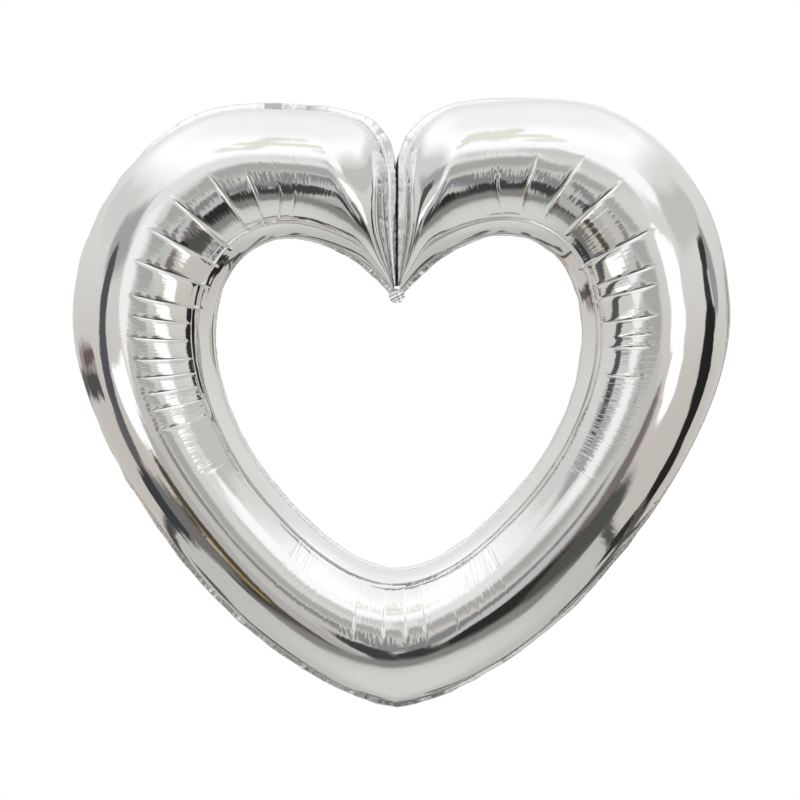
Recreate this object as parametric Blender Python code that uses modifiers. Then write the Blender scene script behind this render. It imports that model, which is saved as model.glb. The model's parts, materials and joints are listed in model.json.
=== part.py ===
"""Heart-shaped foil balloon: a blown-up tube of metallised film that runs round an open heart.

Two foil sheets are welded together along an outer and an inner outline. The welds leave flat
margins, which meet in a small tab at the notch of the heart. A filling neck folds at the top of
the left lobe, and two valve films hang inside behind it. X is to the right, Z is up, the front
faces -Y, and the origin is the centre of the tab at the notch.
"""
import math

import bmesh
import bpy
from mathutils import Euler, Vector

MM = 0.001

# Control points of the right half's outlines, from the bottom tip round to the notch.
# Each pair is the two ends of one rib: (inner x, inner z), (outer x, outer z), in millimetres.
RIBS = [
    ((0, -356), (0, -523)),
    ((76, -320), (119, -465)),
    ((131, -270), (217, -391)),
    ((186, -205), (310, -282)),
    ((221, -132), (380, -170)),
    ((236, -61), (424, -38)),
    ((231, 8), (398, 83)),
    ((197, 62), (340, 175)),
    ((147, 81), (242, 244)),
    ((104, 75), (120, 236)),
    ((70, 62), (49, 232)),
    ((45, 47), (10, 185)),
    ((25, 29), (13, 115)),
    ((10, 14), (7, 53)),
    ((2, 6), (2, 6)),
]

# The blown-up tube
HALF_DEPTH = 76 * MM        # from the weld plane to the crown of either sheet
TAPER = 0.55                # half depth over rib width where the tube narrows to the notch
FOIL = 0.5 * MM             # stand-in thickness of one sheet
GAP = 0.3 * MM              # clearance between neighbouring solids
LAST_RIB = 13.6             # where the tube ends, just short of the notch
TIP_DROP = 5 * MM           # how far the weld runs to a point below the smooth outline
TIP_REACH = 25 * MM         # how far along the outline that point is felt

# The welded margins
WELD = 1.0 * MM             # stand-in thickness of two welded sheets
OUTER_MARGIN = 8 * MM
INNER_MARGIN = 6 * MM
WELD_ROOT = 1.0 * MM        # how far a margin reaches in under the sheets' edges
CLEFT_GAP = 1.5 * MM        # from a margin to the centre line between the lobes
TAB_WIDTH = 20 * MM
TAB_HEIGHT = 15 * MM
TAB_ENDS = 0.6              # width of the tab's upper and lower edges over its middle width

# The filling neck and its valve
NECK_RIB = 8.72             # which rib of the left lobe the neck stands on
NECK_LENGTH = 62 * MM
NECK_WIDTH = 24 * MM
NECK_FLARE = 5 * MM         # how much wider the neck is at its mouth
NECK_LAYER = 0.4 * MM
NECK_CLEARANCE = 1.2 * MM   # from the fold line to the layers' lower edges
NECK_FOLD = math.radians(112)   # from standing straight out to lying behind the lobe
PASSAGE = 25 * MM           # break in the outer weld that the valve films pass through
VALVE_LENGTH = 120 * MM
VALVE_WIDTH = 22 * MM
VALVE_FILM = 0.3 * MM

# Mesh steps
RIB_STEPS = 45
CROWN_STEPS = 12
MARGIN_STEPS_PER_RIB = 4
PLATE_STEPS = 6
AT_TIP = 0.001              # a rib position this close to 0 is the tip itself

SILVER = (0.80, 0.80, 0.80, 1)
WELD_SILVER = (0.86, 0.86, 0.87, 1)
CLEAR_FILM = (0.85, 0.88, 0.90, 1)


def clear_scene():
    for item in list(bpy.data.objects):
        bpy.data.objects.remove(item, do_unlink=True)


def soft_min(a, b, sharpness=6):
    return (a ** -sharpness + b ** -sharpness) ** (-1 / sharpness)


# ---------------------------------------------------------------- outlines

def control_points(side):
    """Inner (0) or outer (1) control points in metres, with one more beyond each end."""
    points = [Vector(pair[side]) * MM for pair in RIBS]
    across_centre = Vector((-points[1].x, points[1].y))
    beyond_notch = 2 * points[-1] - points[-2]
    return [across_centre] + points + [beyond_notch]


CONTROLS = (control_points(0), control_points(1))


def outline(side, t):
    """Point (x, z) at rib t, from 0 at the tip, on the cubic curve of the control points."""
    points = CONTROLS[side]
    start = min(int(t), len(points) - 4)
    u = t - start
    weights = ((1 - u) ** 3, 3 * u ** 3 - 6 * u ** 2 + 4, 1 + 3 * u + 3 * u ** 2 - 3 * u ** 3, u ** 3)
    return sum((weights[k] * points[start + k] for k in range(4)), Vector((0, 0))) / 6


def tip_point(t):
    """How far the outer outline is drawn down into a point near the tip."""
    distance = outline(1, t).x
    return Vector((0, -TIP_DROP * math.exp(-distance / TIP_REACH)))


def seam(side, t):
    point = outline(side, t)
    return point + tip_point(t) if side else point


def seam_normal(side, t):
    """Unit vector in the weld plane that points away from the tube at a seam."""
    step = 0.01
    along = seam(side, t + step) - seam(side, max(t - step, 0))
    normal = Vector((along.y, -along.x)).normalized()
    return normal if side else -normal


def half_depth(t):
    width = (outline(1, t) - outline(0, t)).length
    return soft_min(HALF_DEPTH, TAPER * width)


def crown_point(t, turn):
    """Point on the front sheet, with turn from 0 at the inner weld to pi at the outer one."""
    across = (1 - math.cos(turn)) / 2
    inner = outline(0, t)
    flat = inner + (outline(1, t) - inner) * across + tip_point(t) * across ** 6
    depth = half_depth(t) * math.sin(turn) + WELD / 2 + GAP
    return Vector((flat.x, -depth, flat.y))


def margin_point(side, position, outward):
    """Point in the weld plane beside a seam. A negative position is on the left half."""
    t = abs(position)
    place = seam(side, t)
    normal = seam_normal(side, t)
    if t < AT_TIP:
        return Vector((0, 0, place.y + math.copysign(outward, normal.y)))
    facing_cleft = side == 1 and normal.x < 0
    if facing_cleft:
        outward = min(outward, (place.x - CLEFT_GAP) / -normal.x)
    place = place + normal * outward
    return Vector((math.copysign(place.x, position), 0, place.y))


# ---------------------------------------------------------------- making objects

def material(name, colour, roughness, metallic):
    made = bpy.data.materials.get(name)
    if made is None:
        made = bpy.data.materials.new(name)
        made.use_nodes = True
        shader = made.node_tree.nodes["Principled BSDF"]
        shader.inputs["Base Color"].default_value = colour
        shader.inputs["Roughness"].default_value = roughness
        shader.inputs["Metallic"].default_value = metallic
        made.diffuse_color = colour
    return made


def foil_material():
    return material("mirror_foil", SILVER, 0.08, 1.0)


def weld_material():
    return material("welded_foil", WELD_SILVER, 0.30, 1.0)


def film_material():
    return material("valve_film", CLEAR_FILM, 0.35, 0.0)


def sheet(name, collection, steps, place, finish):
    """A grid of steps[0] by steps[1] faces, with each vertex at place(u, v), u and v from 0 to 1."""
    mesh = bpy.data.meshes.new(name)
    grid = bmesh.new()
    bmesh.ops.create_grid(grid, x_segments=steps[0], y_segments=steps[1], size=0.5)
    for vertex in grid.verts:
        vertex.co = place(vertex.co.x + 0.5, vertex.co.y + 0.5)
    grid.to_mesh(mesh)
    grid.free()
    mesh.materials.append(finish)
    made = bpy.data.objects.new(name, mesh)
    collection.objects.link(made)
    return made


def mirror_over_centre(item):
    mirror = item.modifiers.new("Mirror", "MIRROR")
    mirror.merge_threshold = 0.0001


def thicken(item, thickness, offset):
    """Offset -1 grows behind the faces, 0 grows to both sides."""
    solidify = item.modifiers.new("Thickness", "SOLIDIFY")
    solidify.thickness = thickness
    solidify.offset = offset
    solidify.use_even_offset = False


# ---------------------------------------------------------------- pieces

def make_panel(name, collection, back):
    """Half of one blown-up sheet, mirrored over the centre line and given its thickness."""
    def place(u, v):
        t = LAST_RIB * (v if back else 1 - v)
        point = crown_point(t, math.pi * u)
        point.x = 0 if t < AT_TIP else point.x
        if back:
            point.y = -point.y
        return point

    panel = sheet(name, collection, (CROWN_STEPS, RIB_STEPS), place, foil_material())
    mirror_over_centre(panel)
    thicken(panel, FOIL, -1)
    panel.data.shade_smooth()
    return panel


def make_margin(name, collection, side, start, end, width):
    """A flat welded strip beside a seam, between two rib positions, with a row at the tip."""
    steps = round((start - end) * MARGIN_STEPS_PER_RIB)
    passes_tip = start > 0 > end
    tip_row = round(steps * start / (start - end)) / steps if passes_tip else 1
    last_before = 0 if passes_tip else end

    def place(u, v):
        if v <= tip_row:
            position = start + (last_before - start) * v / tip_row
        else:
            position = end * (v - tip_row) / (1 - tip_row)
        return margin_point(side, position, -WELD_ROOT + (width + WELD_ROOT) * u)

    strip = sheet(name, collection, (1, steps), place, weld_material())
    thicken(strip, WELD, 0)
    return strip


def passage_ends():
    """Rib positions, on the left half, of the two sides of the break in the outer weld."""
    step = 0.01
    pace = (outline(1, NECK_RIB + step) - outline(1, NECK_RIB)).length / step
    half_break = PASSAGE / 2 / pace
    return -(NECK_RIB - half_break), -(NECK_RIB + half_break)


def make_tab(collection):
    """The flat tab where the inner and the outer margins meet at the notch."""
    def place(u, v):
        width = TAB_WIDTH * (1 - (1 - TAB_ENDS) * (2 * v - 1) ** 2)
        return Vector(((u - 0.5) * width, 0, (v - 0.5) * TAB_HEIGHT))

    tab = sheet("notch_tab", collection, (2, PLATE_STEPS), place, weld_material())
    thicken(tab, WELD, 0)
    return tab


def neck_frame():
    """Fold point, fold line, outward direction of the neck on the left lobe, in 3-D."""
    foot = margin_point(1, -NECK_RIB, OUTER_MARGIN)
    normal = seam_normal(1, NECK_RIB)
    outward = Vector((-normal.x, 0, normal.y))
    fold_line = Vector((0, 1, 0)).cross(outward)
    return foot, fold_line, outward


def make_neck_hinge(collection):
    """An empty on the fold line. Its Z runs out along the neck, which is folded behind the lobe."""
    foot, fold_line, outward = neck_frame()
    lean = math.atan2(outward.x, outward.z)
    hinge = bpy.data.objects.new("neck_hinge", None)
    hinge.empty_display_size = NECK_LENGTH / 2
    hinge.location = foot
    standing = Euler((0, lean, 0)).to_matrix()
    folded = Euler((-NECK_FOLD, 0, 0)).to_matrix()
    hinge.rotation_euler = (standing @ folded).to_euler()
    collection.objects.link(hinge)
    return hinge


def make_neck_layer(name, collection, hinge, side):
    """One foil layer of the neck, which flares towards its open mouth."""
    level = side * (NECK_LAYER + GAP) / 2

    def place(u, v):
        width = NECK_WIDTH + NECK_FLARE * v ** 2
        return Vector(((u - 0.5) * width, level, NECK_CLEARANCE + (NECK_LENGTH - NECK_CLEARANCE) * v))

    layer = sheet(name, collection, (2, PLATE_STEPS), place, weld_material())
    thicken(layer, NECK_LAYER, 0)
    layer.parent = hinge
    return layer


def make_valve_film(name, collection, side):
    """One valve film, from the break in the outer weld down into the tube."""
    foot = margin_point(1, -NECK_RIB, OUTER_MARGIN - WELD_ROOT)
    _, fold_line, outward = neck_frame()
    level = Vector((0, side * (VALVE_FILM + GAP) / 2, 0))

    def place(u, v):
        return foot + level + fold_line * (u - 0.5) * VALVE_WIDTH - outward * VALVE_LENGTH * v

    film = sheet(name, collection, (2, PLATE_STEPS), place, film_material())
    thicken(film, VALVE_FILM, 0)
    return film


def main():
    clear_scene()
    balloon = bpy.data.collections.new("heart_foil_balloon")
    bpy.context.scene.collection.children.link(balloon)

    make_panel("front_panel", balloon, back=False)
    make_panel("back_panel", balloon, back=True)

    before_neck, after_neck = passage_ends()
    make_margin("outer_seam_main", balloon, 1, LAST_RIB, before_neck, OUTER_MARGIN)
    make_margin("outer_seam_cleft", balloon, 1, after_neck, -LAST_RIB, OUTER_MARGIN)
    make_margin("inner_seam", balloon, 0, LAST_RIB, -LAST_RIB, INNER_MARGIN)
    make_tab(balloon)

    hinge = make_neck_hinge(balloon)
    make_neck_layer("neck_front_layer", balloon, hinge, side=-1)
    make_neck_layer("neck_back_layer", balloon, hinge, side=1)
    make_valve_film("valve_front_film", balloon, side=-1)
    make_valve_film("valve_back_film", balloon, side=1)


main()
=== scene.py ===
"""Looks of the heart-shaped foil balloon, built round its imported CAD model.

Two mirror-bright foil sheets are blown up into a tube that runs round an open heart. Each sheet is
a fine mesh on the same ribs as the CAD panel, pressed in by the folds that the inner side gathers
into. The welded margins, the tab at the notch and the filling neck are thin crinkled strips.
"""
import json
import math

import bpy
import numpy as np
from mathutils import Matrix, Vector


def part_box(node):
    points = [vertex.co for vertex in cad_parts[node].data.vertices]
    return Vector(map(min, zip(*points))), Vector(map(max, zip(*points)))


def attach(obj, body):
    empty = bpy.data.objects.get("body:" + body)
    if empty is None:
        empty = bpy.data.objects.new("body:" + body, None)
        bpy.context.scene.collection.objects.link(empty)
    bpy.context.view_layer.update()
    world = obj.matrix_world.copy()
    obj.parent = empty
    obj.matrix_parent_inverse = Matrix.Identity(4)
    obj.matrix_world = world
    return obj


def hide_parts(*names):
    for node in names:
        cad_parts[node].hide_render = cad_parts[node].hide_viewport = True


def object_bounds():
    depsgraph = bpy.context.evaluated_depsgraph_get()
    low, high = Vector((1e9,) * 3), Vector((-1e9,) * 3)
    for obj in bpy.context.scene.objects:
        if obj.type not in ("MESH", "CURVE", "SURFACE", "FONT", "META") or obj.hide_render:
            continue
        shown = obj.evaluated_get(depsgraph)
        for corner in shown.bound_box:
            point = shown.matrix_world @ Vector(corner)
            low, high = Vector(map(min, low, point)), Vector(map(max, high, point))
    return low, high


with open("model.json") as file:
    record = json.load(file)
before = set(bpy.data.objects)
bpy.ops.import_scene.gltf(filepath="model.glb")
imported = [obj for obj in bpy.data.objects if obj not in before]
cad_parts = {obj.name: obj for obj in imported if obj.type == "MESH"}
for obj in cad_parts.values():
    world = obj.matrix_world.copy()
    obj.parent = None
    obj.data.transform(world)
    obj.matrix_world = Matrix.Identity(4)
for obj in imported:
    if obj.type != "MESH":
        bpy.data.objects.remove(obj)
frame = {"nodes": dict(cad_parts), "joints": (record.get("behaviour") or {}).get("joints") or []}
cad_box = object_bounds()

MM = 0.001

# The outlines' control points, as in the CAD: (inner x, inner z), (outer x, outer z), in mm,
# from the bottom tip round the right half to the notch.
RIBS = [
    ((0, -356), (0, -523)),
    ((76, -320), (119, -465)),
    ((131, -270), (217, -391)),
    ((186, -205), (310, -282)),
    ((221, -132), (380, -170)),
    ((236, -61), (424, -38)),
    ((231, 8), (398, 83)),
    ((197, 62), (340, 175)),
    ((147, 81), (242, 244)),
    ((104, 75), (120, 236)),
    ((70, 62), (49, 232)),
    ((45, 47), (10, 185)),
    ((25, 29), (13, 115)),
    ((10, 14), (7, 53)),
    ((2, 6), (2, 6)),
]
INNER, OUTER = 0, 1
HALF_DEPTH = 76 * MM        # from the weld plane to the crown of either sheet
TAPER = 0.55                # half depth over rib width where the tube narrows to the notch
SEAM_LEVEL = 0.8 * MM       # from the weld plane to a sheet's edge
LAST_RIB = 13.75
FIRST_RIB = 1e-6            # stands in for 0, where the sides of the tube can't be told apart
TIP_DROP = 5 * MM           # how far the outer weld runs to a point at the tip
TIP_REACH = 25 * MM         # how far from the tip that is felt
OUTER_MARGIN = 8 * MM
INNER_MARGIN = 6 * MM
MARGIN_STEP = 1.3 * MM      # between the margins' mesh rows
MARGIN_COLUMNS = 8
MARGIN_TUCK = 0.12          # how far a margin runs in under the sheets, over its width
CLEFT_WIDENING = 0.8        # how much wider the outer margin gets where it faces the centre line
LEFT_OVERLAP = 3.0 * MM     # how far past the centre line each lobe's margin may reach
RIGHT_OVERLAP = 0.4 * MM
NECK_RIB = 8.72
NECK_WIDTH = 24 * MM
NECK_FLARE = 5 * MM
NECK_LEVEL = 0.35 * MM      # from the neck's middle plane to either layer
NECK_RIPPLE = 0.9 * MM
TAB_RISE = 3 * MM           # how much higher the tab's film reaches than the CAD tab
FILM = 0.15 * MM            # thickness shown at the margins' free edges

# Folds that gather the inner side of the tube: distance from the tip along the tube (mm), the
# turn round the tube where the fold starts and ends (degrees from the inner weld), depth (mm).
LEFT_FOLDS = [
    (367, 90, 41, 0.53), (391, 89, 39, 0.60), (411, 89, 40, 0.60), (430, 89, 38, 0.68),
    (451, 89, 39, 0.75), (476, 91, 41, 0.75), (500, 88, 39, 0.75), (523, 91, 25, 0.90),
    (561, 94, 23, 1.05), (599, 94, 23, 1.05), (639, 95, 23, 1.20), (685, 92, 31, 1.20),
    (721, 86, 33, 1.05), (753, 75, 37, 0.75), (773, 69, 41, 0.68),
]
RIGHT_FOLDS = [
    (429, 83, 48, 0.53), (465, 87, 48, 0.60), (479, 86, 58, 0.53), (499, 89, 37, 0.75),
    (532, 91, 34, 0.90), (552, 93, 36, 0.90), (588, 98, 28, 1.05), (645, 101, 40, 1.20),
    (687, 100, 44, 1.20), (727, 92, 41, 1.05), (764, 80, 40, 0.90),
]
BOTTOM_FOLDS = [(-45, 93, 56, 0.45), (-10, 92, 35, 0.53), (15, 94, 37, 0.53), (39, 96, 39, 0.45)]
FOLD_WIDTH = 1.5 * MM
WRINKLE_WIDTH = 0.8 * MM
PUCKER_WIDTH = 1.8 * MM
FOLD_END = math.radians(5)      # how quickly a fold fades at its ends
PILLOW = 0.016                  # how high the film swells between two folds, over their distance
WIDEST_PILLOW = 60 * MM
PILLOW_END = math.radians(14)   # how quickly a pillow and the gathering fade at their ends

# Bands of fine wrinkles on either side: from and to (mm from the tip), distance between wrinkles
# (mm), outer and inner turn (degrees), depth (mm).
WRINKLE_BANDS = [
    (298, 420, 2.6, 84, 40, 0.24),
    (420, 480, 3.2, 88, 42, 0.15),
    (480, 640, 6.0, 92, 60, 0.10),
    (600, 790, 3.4, 99, 68, 0.16),
    (740, 880, 5.0, 58, 34, 0.16),
]
BOTTOM_BAND = (-150, 150, 2.6, 97, 30, 0.28)
GATHER_PLACES = [0, 110, 150, 320, 360, 470, 520, 640, 700, 780, 820, 900]
GATHER_DENSITY = [1, 0.8, 0, 0, 1, 1, 0.5, 0.6, 1, 0.8, 0.3, 0]
GATHER_TURNS = (math.radians(32), math.radians(98))

SHEET_SPAN = (-1100, 1100)      # distances (mm) that the random waves of the sheets run over
MARGIN_SPAN = (-1200, 1200)

# The mesh's rows: distance from the tip and from row to row (mm), and how far a row leans along
# the tube there for each degree of turn (mm).
ROW_PLACES = [0, 150, 165, 285, 300, 480, 500, 820, 850, 2000]
ROW_GAPS = [1.0, 1.0, 2.4, 2.4, 0.95, 0.95, 1.2, 1.2, 1.3, 1.3]
LEAN_PLACES = [0, 400, 530, 600, 690, 760, 820, 900]
ROW_LEANS = [0, -0.12, -0.20, 0, 0.28, 0.70, 0.60, 0]
ROWS_AT_FOLD = (-0.9, -0.3, 0.0, 0.3, 0.9)      # extra rows at each fold, over its width

# Creases across each lobe's foil in the cleft: height above the notch and depth (mm)
CLEFT_CREASES = [(182, 2.2), (146, 2.6), (98, 2.6), (62, 1.4), (36, 0.9)]
RIM_CREASES = [(39, 0.45), (24, 0.25)]          # turn (degrees) and depth (mm) of each
GUIDE_TURN = math.radians(70)   # where along the section the folds' distances are measured

# How far the margins lean back: distance from the tip (mm) and angle (degrees)
OUTER_TILTS = [
    (-960, 30), (-870, 25), (-760, 5), (-700, 25), (-640, 55), (-400, 68), (-300, 40), (-200, 12),
    (0, 10), (120, 35), (300, 60), (400, 85), (640, 85), (760, 60), (850, 20), (960, -10),
]
INNER_TILTS = [
    (-960, 5), (-850, 20), (-760, 60), (-400, 70), (-200, 45), (0, 55), (200, 50), (400, 72),
    (760, 65), (860, 25), (960, 5),
]

LOBE_RISE = 7 * MM              # how much higher and wider the right lobe is than the left one
LOBE_SPREAD = 6 * MM
LOBE_EASE = 0.14                # how much of its depth each lobe loses towards the cleft
CLEFT_START = 825               # distance from the tip (mm) where a lobe starts to face the other one
CLEFT_TURN = math.radians(149)  # turn round the section where the foil that faces it starts

rng = np.random.default_rng(7)


# ---------------------------------------------------------------- the tube's surface

def control_points(side):
    """One outline's control points in metres, with one more beyond each end."""
    points = np.array([pair[side] for pair in RIBS], float) * MM
    across_centre = points[1] * (-1, 1)
    beyond_notch = 2 * points[-1] - points[-2]
    return np.vstack([across_centre, points, beyond_notch])


CONTROLS = (control_points(INNER), control_points(OUTER))


def outline(side, t):
    """Points (x, z) at ribs t, from 0 at the tip, on the cubic curve of the control points."""
    points = CONTROLS[side]
    start = np.minimum(t.astype(int), len(points) - 4)
    u = (t - start)[..., None]
    return ((1 - u) ** 3 * points[start]
            + (3 * u ** 3 - 6 * u ** 2 + 4) * points[start + 1]
            + (1 + 3 * u + 3 * u ** 2 - 3 * u ** 3) * points[start + 2]
            + u ** 3 * points[start + 3]) / 6


def tip_point(t):
    """How far the outer outline is drawn down into a point near the tip."""
    drop = -TIP_DROP * np.exp(-outline(OUTER, t)[..., 0] / TIP_REACH)
    return np.stack([np.zeros_like(drop), drop], -1)


def half_depth(t):
    """The smaller of the full half depth and the one that a narrow rib allows, smoothly joined."""
    width = np.linalg.norm(outline(OUTER, t) - outline(INNER, t), axis=-1) + 1e-6
    return (HALF_DEPTH ** -6 + (TAPER * width) ** -6) ** (-1 / 6)


def front_surface(s, turn):
    """Points on the smooth front sheet. s is the rib, negative on the left; turn runs 0 to pi."""
    t = np.abs(s)
    across = ((1 - np.cos(turn)) / 2)[..., None]
    inner = outline(INNER, t)
    flat = inner + (outline(OUTER, t) - inner) * across + tip_point(t) * across ** 6
    depth = half_depth(t) * np.sin(turn) + SEAM_LEVEL
    return np.stack([flat[..., 0] * np.sign(s), -depth, flat[..., 1]], -1)


def rib_ruler():
    """Rib positions and their distance from the tip, measured along the tube."""
    s = np.linspace(FIRST_RIB, LAST_RIB, 3000)
    line = front_surface(s, np.full_like(s, GUIDE_TURN))
    steps = np.linalg.norm(np.diff(line, axis=0), axis=-1)
    return s, np.concatenate([[0], np.cumsum(steps)])


RULER_RIBS, RULER_LENGTHS = rib_ruler()


def rib_at(length):
    """Signed rib position at a signed distance from the tip."""
    return np.sign(length) * np.interp(np.abs(length), RULER_LENGTHS, RULER_RIBS)


def smooth_step(x):
    """0 below 0 and 1 above 1, with a smooth rise between them."""
    x = np.clip(x, 0, 1)
    return x * x * (3 - 2 * x)


# ---------------------------------------------------------------- the sheets' rows and folds

def folds():
    """All main folds as (signed distance, outer turn, inner turn, depth) in metres and radians."""
    listed = [(-a, b, c, d) for a, b, c, d in LEFT_FOLDS] + RIGHT_FOLDS + BOTTOM_FOLDS
    return [(a * MM, math.radians(b), math.radians(c), d * MM) for a, b, c, d in listed]


def row_lengths():
    """Distances of the mesh's rows from the tip: close where the foil is gathered."""
    end = RULER_LENGTHS[-1]
    marks = np.array(ROW_PLACES) * MM
    gaps = np.array(ROW_GAPS) * MM
    rows = [0.0]
    while rows[-1] < end:
        rows.append(rows[-1] + np.interp(rows[-1], marks, gaps))
    half = np.array(rows[:-1])
    extra = []
    for place, *_ in folds():
        extra += [place + step * FOLD_WIDTH for step in ROWS_AT_FOLD]
    lengths = np.concatenate([-half[::-1], half[1:], extra])
    lengths = np.unique(np.round(lengths, 5))
    return lengths[np.abs(lengths) < end]


def row_slant(length):
    """How far a row leans along the tube for each radian of turn, so that it follows the folds."""
    lean = np.interp(np.abs(length), np.array(LEAN_PLACES) * MM, np.array(ROW_LEANS) * MM)
    return np.sign(length) * lean * 180 / math.pi


def leaning_lengths(lengths, turns):
    """Distance from the tip of every grid point: a row runs straight outside the guide turn."""
    lean_in = np.logaddexp(0, (GUIDE_TURN - turns) * 8) / 8
    return lengths[:, None] - row_slant(lengths)[:, None] * lean_in[None, :]


def window(turn, inner, outer, soft):
    """1 between two turns, falling to 0 over a soft distance inside each end."""
    return smooth_step((turn - inner) / soft) * smooth_step((outer - turn) / soft)


def press_fold(dent, lengths, turns, fold, width):
    """Adds one sharp valley, which runs along the rows and fades at both its ends."""
    place, outer, inner, depth = fold
    near = np.abs(lengths - place) < 6 * width
    across = np.exp(-np.abs(lengths[near] - place) / width)
    dent[near] -= depth * across[:, None] * window(turns, inner, outer, FOLD_END)[None, :]


def pillows(lengths, turns):
    """The film swells a little between neighbouring folds."""
    total = np.zeros((len(lengths), len(turns)))
    marks = sorted(folds())
    for first, second in zip(marks, marks[1:]):
        gap = second[0] - first[0]
        if gap > WIDEST_PILLOW:
            continue
        inside = (lengths > first[0]) & (lengths < second[0])
        u = (lengths[inside] - first[0]) / gap
        inner, outer = (first[2] + second[2]) / 2, (first[1] + second[1]) / 2
        across = window(turns, inner, outer, PILLOW_END)
        total[inside] += PILLOW * gap * (1 - (2 * u - 1) ** 2)[:, None] * across[None, :]
    return total


def rim_creases(lengths, turns):
    """Two faint creases that run round the open middle, where the folds end and nearer the weld."""
    total = np.zeros((len(lengths), len(turns)))
    reach = smooth_step((860 - np.abs(lengths) / MM) / 60)[:, None]
    drift = math.radians(1.5) * waves(SHEET_SPAN, 60)(lengths / MM)[:, None]
    for turn, depth in RIM_CREASES:
        off = np.abs(turns[None, :] - math.radians(turn) - drift) / math.radians(1.3)
        total -= depth * MM * np.exp(-off) * reach
    return total


def scatter_wrinkles(start, end, gap, outer, inner, depth):
    """Fine wrinkles at uneven distances between two places, each with a fold's four values."""
    place = start
    made = []
    while place < end:
        reach = rng.uniform(0.0, 1.0, 2)
        middle = (outer + inner) / 2
        top = outer - (outer - middle) * 0.8 * reach[0]
        bottom = inner + (middle - inner) * 0.8 * reach[1]
        deep = depth * MM * rng.uniform(0.4, 1.0)
        made.append((place * MM, math.radians(top), math.radians(bottom), deep))
        place += gap * rng.uniform(0.6, 1.4)
    return made


def wrinkles():
    """The fine wrinkles of the whole sheet, thickest where the tube bends most."""
    made = []
    for side in (-1, 1):
        for band in WRINKLE_BANDS:
            for place, top, bottom, depth in scatter_wrinkles(*band):
                made.append((side * place, top, bottom, depth))
    return made + scatter_wrinkles(*BOTTOM_BAND)


def gathered(lengths, turns):
    """How densely the film is gathered, from 0 to 1, which the material turns into fine creases."""
    along = np.interp(np.abs(lengths) / MM, GATHER_PLACES, GATHER_DENSITY)
    return along[:, None] * window(turns, *GATHER_TURNS, PILLOW_END)[None, :]


def seam_puckers():
    """Short creases that run in from the outer weld, each with a fold's four values."""
    made = []
    for side in (-1, 1):
        place = 20
        while place < 850:
            inner = math.radians(rng.uniform(158, 168))
            depth = rng.uniform(0.2, 0.6) * MM
            made.append((side * place * MM, math.radians(181), inner, depth))
            place += rng.uniform(14, 34)
    return made


def waves(span, gap):
    """Smooth random values, mostly between -1 and 1, over a span with a random knot in every gap."""
    count = int(math.ceil(span[1] - span[0]) / gap) + 4
    knots = rng.uniform(-1, 1, count)

    def at(x):
        u = (x - span[0]) / gap + 1
        i = np.clip(np.floor(u).astype(int), 1, count - 3)
        f = np.clip(u - i, 0, 1)
        a, b, c, d = knots[i - 1], knots[i], knots[i + 1], knots[i + 2]
        return b + 0.5 * f * (c - a + f * (2 * a - 5 * b + 4 * c - d + f * (3 * (b - c) + d - a)))

    return at


def undulation(lengths, turns):
    """Gentle unevenness of the whole blown-up sheet."""
    total = np.zeros((len(lengths), len(turns)))
    for gap, height in ((70, 0.32 * MM), (32, 0.07 * MM)):
        for lobe in range(4):
            along = waves(SHEET_SPAN, gap)(lengths / MM)
            middle = math.radians(25 + 43 * lobe)
            across = np.exp(-((turns - middle) / math.radians(30)) ** 2)
            total += height * along[:, None] * across[None, :]
    fade = smooth_step(turns / 0.3) * smooth_step((math.pi - turns) / 0.3)
    return total * fade[None, :]


def beside_cleft(lengths):
    """1 on the rows that run past the cleft, and 0 on the others."""
    return smooth_step((np.abs(lengths) / MM - CLEFT_START) / 25)[:, None]


def pressed_together(lengths, turns):
    """1 where each lobe's foil faces the other lobe across the cleft, and 0 elsewhere."""
    facing = smooth_step((turns - CLEFT_TURN) / math.radians(6))[None, :]
    return beside_cleft(lengths) * facing


def cleft_crinkle(points, turns, lengths):
    """The crumpled foil of each lobe where it faces the other one across the cleft."""
    height = points[..., 2] / MM
    dent = np.zeros(points.shape[:2])
    for level, depth in CLEFT_CREASES:
        dent -= depth * MM * np.exp(-np.abs(height - level) / 1.8)
    slow, fast = waves((-60, 400), 7), waves((-160, 400), 2.4)
    ripple = 0.6 * slow(height + 9 * turns[None, :]) + 0.6 * fast(height - 16 * turns[None, :])
    crumpled = (dent + ripple * 0.8 * MM) * pressed_together(lengths, turns)
    edge = np.exp(-np.abs(turns - math.radians(148)) / math.radians(1.6))[None, :]
    return crumpled - 1.6 * MM * edge * beside_cleft(lengths)


def swell_right_lobe(points):
    """The right lobe is filled a little fuller than the left one."""
    x, z = points[..., 0] / MM, points[..., 2] / MM
    rise = LOBE_RISE * smooth_step(z / 230) * smooth_step((x - 8) / 70)
    spread = LOBE_SPREAD * smooth_step((x - 150) / 150) * smooth_step(z / 120)
    moved = points.copy()
    moved[..., 2] += rise
    moved[..., 0] += spread
    return moved


def ease_lobe_ends(points):
    """The lobes get a little shallower where they round off towards the cleft."""
    x, z = points[..., 0] / MM, points[..., 2] / MM
    start = 20 + 0.37 * z
    share = smooth_step((start - np.abs(x)) / 42) * smooth_step((z - 10) / 40)
    eased = points.copy()
    eased[..., 1] *= 1 - LOBE_EASE * share
    return eased


def section_turns():
    """Turns of the mesh's columns round half a section, closer where folds end."""
    even = np.linspace(0, math.pi, 43)
    at_rim_creases = [23, 24, 25, 38, 39, 40]
    at_cleft_and_weld = [147, 148.5, 151, 154, 172, 175, 178]
    extra = np.radians(at_rim_creases + at_cleft_and_weld)
    return np.unique(np.round(np.concatenate([even, extra]), 6))


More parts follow.
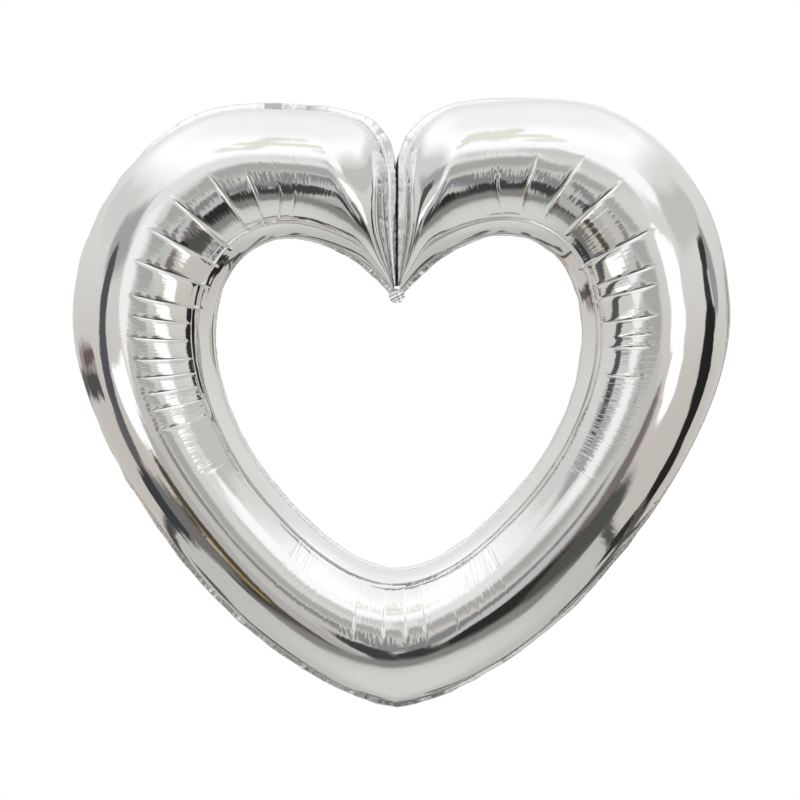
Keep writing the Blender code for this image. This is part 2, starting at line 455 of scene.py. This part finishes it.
def sheet_grid(back):
    """The points of one creased sheet, with its rows' distances and its columns' turns."""
    lengths = row_lengths()
    turns = section_turns()
    lean = leaning_lengths(lengths, turns)
    s = rib_at(lean)
    s = np.where(np.abs(s) < FIRST_RIB, FIRST_RIB, s)
    points = front_surface(s, np.broadcast_to(turns, s.shape))
    points[lengths == 0, :, 0] = 0
    along = np.gradient(points, axis=0)
    around = np.gradient(points, axis=1)
    normal = np.cross(along, around)
    normal /= np.linalg.norm(normal, axis=-1, keepdims=True) + 1e-12

    dent = undulation(lengths, turns)
    for fold in folds():
        press_fold(dent, lengths, turns, fold, FOLD_WIDTH)
    for wrinkle in wrinkles():
        press_fold(dent, lengths, turns, wrinkle, WRINKLE_WIDTH)
    for pucker in seam_puckers():
        press_fold(dent, lengths, turns, pucker, PUCKER_WIDTH)
    dent += pillows(lengths, turns) + rim_creases(lengths, turns)
    dent += cleft_crinkle(points, turns, lengths)
    facing_front = np.sign(-np.sum(normal[..., 1]))
    points = points + normal * facing_front * dent[..., None]
    if back:
        points[..., 1] *= -1
    return swell_right_lobe(ease_lobe_ends(points)), lengths, turns


# ---------------------------------------------------------------- making objects

def grid_object(name, points, finish, flip=False):
    """A mesh of quads over a grid of points, smooth shaded."""
    rows, columns = points.shape[:2]
    index = np.arange(rows * columns).reshape(rows, columns)
    corners = [index[:-1, :-1], index[1:, :-1], index[1:, 1:], index[:-1, 1:]]
    quads = np.stack(corners, -1).reshape(-1, 4)
    if flip:
        quads = quads[:, ::-1]
    mesh = bpy.data.meshes.new(name)
    mesh.from_pydata(points.reshape(-1, 3).tolist(), [], quads.tolist())
    mesh.materials.append(finish)
    mesh.shade_smooth()
    made = bpy.data.objects.new(name, mesh)
    bpy.context.scene.collection.objects.link(made)
    return made


def store(mesh, name, values):
    """Keeps one number for every vertex, for the material to read."""
    attribute = mesh.attributes.new(name, "FLOAT", "POINT")
    attribute.data.foreach_set("value", np.ascontiguousarray(values, dtype=np.float32).ravel())


# ---------------------------------------------------------------- materials

def srgb(red, green, blue):
    """A colour given as screen values from 0 to 255."""
    def linear(value):
        value /= 255
        return value / 12.92 if value <= 0.04045 else ((value + 0.055) / 1.055) ** 2.4
    return (linear(red), linear(green), linear(blue), 1)


class Nodes:
    """Short ways to add and join the nodes of one tree."""

    def __init__(self, tree):
        self.tree = tree
        tree.nodes.clear()

    def add(self, kind, inputs=None, **settings):
        node = self.tree.nodes.new(kind)
        for name, value in settings.items():
            setattr(node, name, value)
        for key, value in (inputs or {}).items():
            if isinstance(value, bpy.types.NodeSocket):
                self.tree.links.new(value, node.inputs[key])
            else:
                node.inputs[key].default_value = value
        return node

    def math(self, operation, *values):
        return self.add("ShaderNodeMath", dict(enumerate(values)), operation=operation).outputs[0]

    def vector(self, operation, *values, out=0):
        node = self.add("ShaderNodeVectorMath", dict(enumerate(values)), operation=operation)
        return node.outputs[out]

    def ramp(self, value, low, high, to_low=0.0, to_high=1.0):
        node = self.add("ShaderNodeMapRange", {0: value, 1: low, 2: high, 3: to_low, 4: to_high},
                        interpolation_type="SMOOTHSTEP")
        return node.outputs[0]

    def noise(self, place, scale, detail):
        node = self.add("ShaderNodeTexNoise", {"Vector": place, "Scale": scale, "Detail": detail})
        return node.outputs[0]

    def bump(self, height, strength, distance):
        inputs = {"Height": height, "Strength": strength, "Distance": distance}
        return self.add("ShaderNodeBump", inputs).outputs[0]

    def mix(self, factor, first, second):
        node = self.add("ShaderNodeMix", {0: factor, 6: first, 7: second}, data_type="RGBA")
        return node.outputs[2]


def polished_metal(nodes, place, colour, roughness, spread, normal):
    """The shader of metallised film, with a slightly uneven polish and tint."""
    cloud = nodes.noise(place, 9.0, 3.0)
    polish = nodes.ramp(cloud, 0.3, 0.7, roughness, roughness + spread)
    tint = nodes.mix(cloud, [c * 0.96 for c in colour[:3]] + [1], colour)
    inputs = {"Base Color": tint, "Roughness": polish, "Normal": normal}
    shader = nodes.add("ShaderNodeBsdfPrincipled", inputs)
    shader.inputs["Metallic"].default_value = 1.0
    output = nodes.add("ShaderNodeOutputMaterial")
    nodes.tree.links.new(shader.outputs[0], output.inputs[0])
    return shader


def mirror_foil():
    """Mirror-bright film, with fine creases across the tube where it is gathered."""
    made = bpy.data.materials.new("mirror_foil")
    made.use_nodes = True
    nodes = Nodes(made.node_tree)
    place = nodes.add("ShaderNodeTexCoord").outputs["Object"]
    along, around, gather, crumple = [
        nodes.add("ShaderNodeAttribute", attribute_name=name).outputs["Fac"]
        for name in ("along", "around", "gather", "crumple")
    ]
    across = nodes.math("MULTIPLY", around, 0.012)
    strip = nodes.add("ShaderNodeCombineXYZ", {0: along, 1: across}).outputs[0]
    creases = nodes.math("MULTIPLY", nodes.noise(strip, 300.0, 2.0), gather)
    bubbles = nodes.add("ShaderNodeTexVoronoi", {"Vector": place, "Scale": 300.0}, feature="SMOOTH_F1")
    bubbles = nodes.math("MULTIPLY", bubbles.outputs[0], crumple)
    grain = nodes.noise(place, 90.0, 2.0)
    height = nodes.math("ADD", nodes.math("MULTIPLY", creases, 0.9), nodes.math("MULTIPLY", grain, 0.25))
    height = nodes.math("ADD", height, nodes.math("MULTIPLY", bubbles, 5.0))
    relief = nodes.bump(height, 0.5, 0.4 * MM)
    polished_metal(nodes, place, srgb(246, 246, 246), 0.04, 0.03, relief)
    return made


def crumpled_foil(name, painted_cleft_shade):
    """Welded film: crumpled and less polished, and where asked, with painted shade: dark grey along the
    centre line between the lobes.
    """
    made = bpy.data.materials.new(name)
    made.use_nodes = True
    nodes = Nodes(made.node_tree)
    place = nodes.add("ShaderNodeTexCoord").outputs["Object"]
    grain = nodes.noise(place, 420.0, 4.0)
    facets = nodes.add("ShaderNodeTexVoronoi", {"Vector": place, "Scale": 330.0}, feature="F1")
    height = nodes.math("ADD", grain, nodes.math("MULTIPLY", facets.outputs[0], 0.7))
    relief = nodes.bump(height, 0.25, 0.6 * MM)
    shader = polished_metal(nodes, place, srgb(252, 252, 253), 0.18, 0.12, relief)
    if painted_cleft_shade:
        # Painted shade in the cleft: above z = 0 the base colour turns dark grey within about 3 mm of the
        # centre line, for the shade in the crevice between the lobes.
        x, _, z = nodes.add("ShaderNodeSeparateXYZ", {0: place}).outputs
        uneven = nodes.math("MULTIPLY", grain, 3 * MM)
        from_centre = nodes.math("ADD", nodes.math("ABSOLUTE", x), uneven)
        away = nodes.math("ADD", from_centre, nodes.math("LESS_THAN", z, 0))
        bright = shader.inputs["Base Color"].links[0].from_socket
        painted_shade = nodes.mix(nodes.ramp(away, 2.6 * MM, 4.2 * MM), srgb(50, 50, 54), bright)
        nodes.tree.links.new(painted_shade, shader.inputs["Base Color"])
    return made


def film_material():
    """Clear valve film with a milky haze."""
    made = bpy.data.materials.new("valve_film")
    made.use_nodes = True
    nodes = Nodes(made.node_tree)
    place = nodes.add("ShaderNodeTexCoord").outputs["Object"]
    rough = nodes.ramp(nodes.noise(place, 60.0, 2.0), 0.3, 0.7, 0.25, 0.45)
    shader = nodes.add("ShaderNodeBsdfPrincipled", {"Roughness": rough})
    shader.inputs["Base Color"].default_value = (0.85, 0.88, 0.90, 1)
    shader.inputs["Alpha"].default_value = 0.6
    output = nodes.add("ShaderNodeOutputMaterial")
    made.node_tree.links.new(shader.outputs[0], output.inputs[0])
    return made


# ---------------------------------------------------------------- the pieces

MIRROR_FOIL = mirror_foil()
WELDED_FOIL = crumpled_foil("welded_foil", painted_cleft_shade=False)
# The outer margins' foil, with painted shade along the cleft between the lobes.
CLEFT_PAINTED_SHADE_FOIL = crumpled_foil("cleft_foil_painted_shade", painted_cleft_shade=True)
VALVE_FILM = film_material()


def film_piece(name, node, body, points, finish):
    """A strip of film with a thin free edge, which stands for one CAD node."""
    piece = grid_object(name, points, finish)
    solid = piece.modifiers.new("Film", "SOLIDIFY")
    solid.thickness = FILM
    solid.offset = 0
    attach(piece, body)
    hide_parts(node)


def make_sheets():
    """The two blown-up sheets, with the values that their material reads."""
    for name, node, back in (("front_sheet", "front_panel", False), ("back_sheet", "back_panel", True)):
        points, lengths, turns = sheet_grid(back)
        piece = grid_object(name, points, MIRROR_FOIL, flip=back)
        store(piece.data, "along", np.broadcast_to(lengths[:, None], points.shape[:2]))
        store(piece.data, "around", np.broadcast_to(turns[None, :], points.shape[:2]))
        store(piece.data, "gather", gathered(lengths, turns))
        store(piece.data, "crumple", pressed_together(lengths, turns))
        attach(piece, "balloon")
        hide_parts(node)


def seam_frames(side, start, end):
    """Points along a seam and the directions that point away from the tube in the weld plane."""
    lengths = np.arange(start, end, MARGIN_STEP)
    s = rib_at(lengths)
    t = np.maximum(np.abs(s), FIRST_RIB)
    tip = tip_point(t) if side == OUTER else 0
    flat = outline(side, t) + tip
    flat[:, 0] *= np.sign(s)
    along = np.gradient(flat, axis=0)
    away = np.stack([along[:, 1], -along[:, 0]], -1)
    away /= np.linalg.norm(away, axis=-1, keepdims=True)
    away = away if side == OUTER else -away
    return lengths, flat, away


def tucks(lengths):
    """Small sharp folds across a margin, at uneven distances."""
    total = np.zeros(len(lengths))
    place = lengths[0]
    while place < lengths[-1]:
        total += rng.uniform(-2.2, 2.2) * np.exp(-np.abs(lengths - place) / (1.5 * MM))
        place += rng.uniform(8, 26) * MM
    return total


def outer_reach(flat, away, width):
    """The outer margin's width along it: wider in the cleft, where it ends near the centre line."""
    to_centre = -away[:, 0] * np.sign(flat[:, 0])
    reach = width * (1 + CLEFT_WIDENING * smooth_step((to_centre - 0.3) / 0.4))
    overlap = np.where(flat[:, 0] < 0, LEFT_OVERLAP, RIGHT_OVERLAP)
    room = (np.abs(flat[:, 0]) + overlap) / np.maximum(to_centre, 0.05)
    return np.where(to_centre > 0.05, np.minimum(reach, np.maximum(room, 0.4 * MM)), reach)


def make_margin(name, node, side, start, end, width, tilts):
    """A crinkled strip of welded foil that leans back by an angle that changes along it."""
    lengths, flat, away = seam_frames(side, start, end)
    reach = outer_reach(flat, away, width) if side == OUTER else np.full(len(lengths), width)
    reach = reach * (1 + 0.06 * waves(MARGIN_SPAN, 9)(lengths / MM))
    places, angles = zip(*tilts)
    tilt = np.radians(np.interp(lengths / MM, places, angles))
    tilt = tilt + np.radians(8) * waves(MARGIN_SPAN, 17)(lengths / MM)
    crumple = waves(MARGIN_SPAN, 3.4)(lengths / MM) + 0.6 * waves(MARGIN_SPAN, 1.8)(lengths / MM)
    crumple = 0.5 * crumple + tucks(lengths)
    steps = np.linspace(-MARGIN_TUCK, 1, MARGIN_COLUMNS)
    points = np.zeros((len(lengths), len(steps), 3))
    for k, u in enumerate(steps):
        out = reach * u
        bend = tilt * np.clip(u * 1.6, 0, 1)
        lift = crumple * MM * max(u, 0) ** 1.3 * np.minimum(reach / width, 1)
        points[:, k, 0] = flat[:, 0] + away[:, 0] * out * np.cos(bend)
        points[:, k, 2] = flat[:, 1] + away[:, 1] * out * np.cos(bend)
        points[:, k, 1] = out * np.sin(bend) + lift
    # The outer margins get the foil with painted shade where they run down the cleft.
    finish = CLEFT_PAINTED_SHADE_FOIL if side == OUTER else WELDED_FOIL
    film_piece(name, node, "balloon", swell_right_lobe(points), finish)


def make_margins():
    """The outer margin in two pieces, parted at the neck, and the inner margin."""
    end = RULER_LENGTHS[-1]
    neck = -np.interp(NECK_RIB, RULER_RIBS, RULER_LENGTHS)
    make_margin("outer_margin", "outer_seam_main", OUTER, neck, end, OUTER_MARGIN, OUTER_TILTS)
    make_margin("cleft_margin", "outer_seam_cleft", OUTER, -end, neck, OUTER_MARGIN, OUTER_TILTS)
    make_margin("inner_margin", "inner_seam", INNER, -end, end, INNER_MARGIN, INNER_TILTS)


def make_tab():
    """The crumpled tab at the notch, widest halfway up."""
    low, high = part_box("notch_tab")
    width = high[0] - low[0]
    tall = high[2] + TAB_RISE - low[2]
    side, level = np.meshgrid(np.linspace(-1, 1, 26), np.linspace(-1, 1, 22))
    half = width / 2 * (1 - 0.4 * level ** 2)
    x = side * half
    z = low[2] + tall / 2 + level * tall / 2 * (1 - 0.10 * side ** 2)
    ripple = waves((-20, 20), 1.7)((x + 0.4 * z) / MM) + waves((-20, 20), 1.3)((z - 0.5 * x) / MM)
    y = ripple * 0.5 * MM
    film_piece("notch_tab_film", "notch_tab", "balloon", np.stack([x, y, z], -1), WELDED_FOIL)


def make_neck():
    """The neck's two layers, in the CAD plates' place, crumpled alike and closer at their sides."""
    joint = frame["joints"][0]
    fold_line = np.array(joint["axis"], float)
    foot = np.array(joint["pos_m"], float)
    low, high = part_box("neck_back_layer")
    along = np.array([(low[0] + high[0]) / 2, high[1], low[2]]) - foot
    along -= fold_line * (along @ fold_line)
    length = np.linalg.norm(along)
    along /= length
    normal = np.cross(along, fold_line)
    side, out = np.meshgrid(np.linspace(-0.5, 0.5, 33), np.linspace(0.02, 1, 65))
    width = NECK_WIDTH + NECK_FLARE * out ** 2
    ripple = waves((0, 90), 7)(out * 60 + 10 * side + 10)
    ripple += 0.6 * waves((0, 90), 4)(side * 24 + 9 * out + 40)
    ripple += 0.35 * waves((-40, 120), 2.2)(out * 40 - 22 * side + 10)
    pinch = smooth_step((0.5 - np.abs(side)) / 0.12)
    for name, node, level in (("neck_front_film", "neck_front_layer", NECK_LEVEL),
                              ("neck_back_film", "neck_back_layer", -NECK_LEVEL)):
        lift = NECK_RIPPLE * ripple * np.minimum(out * 2, 1) + level * (0.5 + 0.5 * pinch)
        points = foot + (side * width)[..., None] * fold_line
        points = points + (out * length)[..., None] * along + lift[..., None] * normal
        film_piece(name, node, "neck", points, WELDED_FOIL)


def dress_valve():
    """The valve films keep their CAD shape and get the finish of clear film."""
    for node in ("valve_front_film", "valve_back_film"):
        mesh = frame["nodes"][node].data
        mesh.materials.clear()
        mesh.materials.append(VALVE_FILM)


# ---------------------------------------------------------------- the studio

# The room that the foil mirrors, measured from the balloon with its height above the floor as 1.
ROOM_LEFT = 1.48
ROOM_RIGHT = 1.11
ROOM_FRONT = 2.9
ROOM_BACK = 7.0
ROOM_TOP = 1.4

FLOOR_HALF_SIZE = 4.8
FLOOR_DROP = 1.2            # from the balloon's tip down to the floor
CAMERA_YAW = math.radians(5)
CAMERA_DISTANCE = 2.5
CAMERA_AIM = (0.004, 0, -0.1295)
CAMERA_LENS = 89.5

# Things in the room, as strokes by direction: from (azimuth, elevation) to (azimuth, elevation) in
# degrees, half width, soft edge, colour. Azimuth 0 is towards the front, and positive to the right.
# The strokes were placed and toned to follow what the foil reflects in the photo, so they
# are not plain studio light. What each one is called is a guess.
STROKES = [
    # the tops of the walls
    ((-105, 30), (-62, 27), 4, 6, (205, 204, 202)),
    ((-56, 18), (-36, 16), 4.5, 5, (160, 160, 159)),
    ((-30, 18), (-6, 18), 3, 6, (224, 223, 222)),
    ((0, 20), (14, 22), 2.5, 5, (200, 199, 197)),
    ((10, 30), (34, 30), 4, 5, (248, 248, 248)),
    ((46, 23), (90, 31), 6, 6, (190, 189, 186)),
    ((-26, 10), (-22, 2), 4, 4, (236, 236, 236)),
    ((-9, 6), (2, 3), 3, 5, (166, 165, 163)),
    # the windows
    ((-44, -12), (-31, -8), 5, 1.5, (255, 255, 255)),
    ((21, 9), (32, 8), 4, 1.5, (255, 255, 255)),
    ((25, 2), (35, 1), 4.5, 1.5, (255, 255, 255)),
    ((31, -6), (38, -8), 5, 1.5, (255, 255, 255)),
    ((35, -12), (39, -13), 4, 1.5, (255, 255, 255)),
    # the furniture in front
    ((-15, -6), (-17, -22), 6, 3, (188, 185, 183)),
    ((8, -8), (12, -22), 5, 3, (186, 186, 184)),
    ((-9, -5), (-6, -20), 2.4, 2.5, (134, 133, 133)),
    ((3, -11), (1, -23), 2.8, 2.5, (128, 128, 130)),
    ((-27, -12), (-30, -18), 1.2, 2.5, (150, 142, 146)),
    ((18, -12), (23, -21), 3, 3.5, (118, 108, 108)),
    ((-8, -34), (34, -37), 4.5, 5, (94, 91, 89)),
    ((28, -27), (48, -37), 5, 4, (78, 78, 74)),
    ((-49, -29), (-42, -32), 4, 3, (110, 98, 92)),
    ((-52, -35), (-36, -40), 4.5, 3.5, (60, 57, 52)),
    ((-35, -21), (-33, -38), 4.5, 2, (78, 70, 58)),
    ((-39, -23), (-37.5, -32), 0.6, 1.0, (168, 150, 92)),
    ((-26, -14), (-26, -34), 3.6, 2.5, (172, 171, 168)),
    ((-13, -25), (-9, -39), 5, 3, (64, 62, 62)),
    ((2, -30), (6, -39), 4.5, 3, (58, 56, 56)),
    ((17, -27), (24, -41), 6, 3, (44, 43, 41)),
    ((-50, -44), (50, -45), 2, 8, (130, 128, 125)),
    ((-164, -8), (-150, -15), 0.9, 2, (180, 154, 152)),
    # the dark door frame and what stands along the left wall
    ((-52.5, 11), (-55.5, -2), 5, 1.5, (80, 80, 84)),
    ((-57, -4), (-67, -18), 4.8, 2, (82, 82, 86)),
    ((-68, -20), (-78, -26), 3, 3, (92, 92, 94)),
    ((-70, -30), (-94, -32), 2.6, 2, (60, 60, 62)),
    ((-66, -30), (-50, -31), 2.5, 4, (112, 110, 108)),
    ((-124, -8.5), (-84, -9), 3, 3.5, (146, 140, 138)),
    ((-148, -5), (-118, -11.5), 0.9, 1.4, (96, 92, 92)),
    ((-118, -11.5), (-84, -14), 1.7, 1.4, (80, 76, 76)),
    ((-108, -8), (-80, -7), 1.0, 1.2, (104, 88, 88)),
    # the dark curtain at the right
    ((91, 17), (99, 8), 4, 4, (146, 146, 146)),
    ((79, 16), (84, 16), 3.5, 1.5, (52, 52, 52)),
    ((79, 9), (85, 4), 3.8, 2, (52, 52, 52)),
    ((79, 0), (91, -1), 5, 2, (44, 44, 44)),
    ((83, -4), (90, -12), 9, 2, (36, 36, 36)),
    ((92, -14), (104, -25), 8, 2, (34, 34, 34)),
    ((106, -29), (126, -30), 3.6, 2, (38, 37, 36)),
    ((106, -35), (124, -34), 0.9, 1.2, (92, 88, 82)),
    ((104, -38.5), (126, -37), 1.6, 1.2, (50, 48, 44)),
    # behind the balloon
    ((128, -32), (154, -26), 1.3, 2.5, (86, 84, 82)),
    ((156, -26), (172, -13), 1.9, 2.5, (80, 77, 75)),
    ((140, 4), (158, 3), 2, 3, (182, 182, 174)),
    ((158, 2.5), (179, 1), 2.5, 3, (100, 102, 94)),
    ((174, -18), (172, -40), 1.6, 2, (110, 104, 100)),
    ((-176, -6), (-166, -32), 1.0, 2, (96, 94, 92)),
    ((-179, -8), (-179, -30), 1.0, 2, (120, 118, 116)),
    ((-172, -13), (-156, -26), 1.4, 2.5, (84, 81, 79)),
    ((-154, -26), (-128, -32), 1.2, 2.5, (92, 87, 85)),
    # the lamp on the ceiling
    ((-18, 44), (2, 43), 1.2, 2.5, (226, 226, 214)),
    ((-12, 36), (-9, 54), 1.5, 3, (224, 224, 212)),
    ((-22, 38), (-17, 36), 1.2, 2.5, (228, 228, 218)),
    ((-2, 36), (6, 39), 1.2, 2.5, (228, 228, 218)),
]


def stroke_mask(nodes, direction, start, end, half_width, soft):
    """1 on a stroke between two directions and 0 beyond its soft edge."""
    run = (end[0] - start[0], end[1] - start[1], 0)
    length_squared = run[0] ** 2 + run[1] ** 2
    offset = nodes.vector("SUBTRACT", direction, (start[0], start[1], 0))
    share = nodes.vector("DOT_PRODUCT", offset, [part / length_squared for part in run], out=1)
    share = nodes.math("MINIMUM", nodes.math("MAXIMUM", share, 0), 1)
    nearest = nodes.add("ShaderNodeVectorMath", {0: run, 3: share}, operation="SCALE").outputs[0]
    distance = nodes.vector("LENGTH", nodes.vector("SUBTRACT", offset, nearest), out=1)
    return nodes.ramp(distance, half_width, half_width + soft, 1, 0)


def wall_share(nodes, along, ahead, behind):
    """How strongly a direction points at one of two walls that face each other."""
    return nodes.math("MAXIMUM", nodes.math("DIVIDE", along, ahead), nodes.math("DIVIDE", along, -behind))


def make_studio():
    """The room's colours by direction. The camera itself sees plain white behind the balloon."""
    world = bpy.data.worlds.new("studio")
    world.use_nodes = True
    bpy.context.scene.world = world
    nodes = Nodes(world.node_tree)
    direction = nodes.add("ShaderNodeTexCoord").outputs["Generated"]
    split = nodes.add("ShaderNodeSeparateXYZ", {0: direction})
    x, y, z = split.outputs
    azimuth = nodes.math("DEGREES", nodes.math("ARCTAN2", x, nodes.math("MULTIPLY", y, -1)))
    elevation = nodes.math("DEGREES", nodes.math("ARCSINE", z))
    blur = nodes.add("ShaderNodeTexNoise", {"Vector": direction, "Scale": 7.0, "Detail": 3.0})
    wobble = nodes.vector("SUBTRACT", blur.outputs["Color"], (0.5, 0.5, 0.5))
    wobble = nodes.add("ShaderNodeVectorMath", {0: wobble, 3: 5.0}, operation="SCALE").outputs[0]
    flat = nodes.add("ShaderNodeCombineXYZ", {0: azimuth, 1: elevation}).outputs[0]
    flat = nodes.vector("ADD", flat, wobble)
    flat = nodes.vector("MULTIPLY", flat, (1, 1, 0))

    walls = nodes.math("MAXIMUM", wall_share(nodes, x, ROOM_RIGHT, ROOM_LEFT),
                       wall_share(nodes, y, ROOM_BACK, ROOM_FRONT))
    over = nodes.math("SUBTRACT", nodes.math("DIVIDE", z, ROOM_TOP), walls)
    under = nodes.math("SUBTRACT", nodes.math("MULTIPLY", z, -1), walls)

    wall = nodes.mix(nodes.ramp(elevation, -25, 30), srgb(192, 187, 180), srgb(214, 213, 210))
    ceiling = nodes.mix(nodes.ramp(elevation, 48, 72), srgb(254, 254, 255), srgb(240, 240, 241))
    ceiling = nodes.mix(nodes.ramp(y, 0.1, 0.8), ceiling, srgb(226, 226, 228))
    floor = nodes.mix(nodes.ramp(elevation, -68, -42), srgb(206, 206, 201), srgb(186, 186, 182))
    colour = nodes.mix(nodes.ramp(over, -0.16, 0.10), wall, ceiling)
    skirting = nodes.math("ABSOLUTE", nodes.math("ADD", under, 0.012))
    colour = nodes.mix(nodes.ramp(skirting, 0.010, 0.028, 1, 0), colour, srgb(72, 72, 72))
    colour = nodes.mix(nodes.ramp(under, -0.006, 0.010), colour, floor)
    for start, end, half_width, soft, tone in STROKES:
        colour = nodes.mix(stroke_mask(nodes, flat, start, end, half_width, soft), colour, srgb(*tone))

    light = nodes.add("ShaderNodeBackground", {"Color": colour, "Strength": 1.12})
    plain = nodes.add("ShaderNodeBackground", {"Color": (1, 1, 1, 1), "Strength": 1.0})
    seen = nodes.add("ShaderNodeLightPath").outputs["Is Camera Ray"]
    either = nodes.add("ShaderNodeMixShader", {0: seen, 1: light.outputs[0], 2: plain.outputs[0]})
    output = nodes.add("ShaderNodeOutputWorld")
    world.node_tree.links.new(either.outputs[0], output.inputs[0])
    bpy.context.scene.view_settings.view_transform = "Standard"


def make_floor():
    """A plain pale floor below the hanging balloon, which the foil doesn't mirror."""
    low, _ = cad_box
    size = FLOOR_HALF_SIZE
    mesh = bpy.data.meshes.new("studio_floor")
    corners = [(-size, -size), (size, -size), (size, size), (-size, size)]
    mesh.from_pydata([(a, b, low[2] - FLOOR_DROP) for a, b in corners], [], [(0, 1, 2, 3)])
    finish = bpy.data.materials.new("pale_floor")
    finish.use_nodes = True
    shader = finish.node_tree.nodes["Principled BSDF"]
    shader.inputs["Base Color"].default_value = srgb(250, 250, 249)
    shader.inputs["Roughness"].default_value = 0.8
    mesh.materials.append(finish)
    floor = bpy.data.objects.new("studio_floor", mesh)
    floor.visible_glossy = False
    bpy.context.scene.collection.objects.link(floor)


def make_camera():
    """A level camera in front of the balloon and a little to the right."""
    camera = bpy.data.objects.new("camera", bpy.data.cameras.new("camera"))
    camera.data.sensor_width = 36
    camera.data.lens = CAMERA_LENS
    x, y, z = CAMERA_AIM
    x += CAMERA_DISTANCE * math.sin(CAMERA_YAW)
    y -= CAMERA_DISTANCE * math.cos(CAMERA_YAW)
    camera.location = (x, y, z)
    camera.rotation_euler = (math.pi / 2, 0, CAMERA_YAW)
    bpy.context.scene.collection.objects.link(camera)
    bpy.context.scene.camera = camera


make_camera()
make_studio()
make_floor()
make_sheets()
make_margins()
make_tab()
make_neck()
dress_valve()
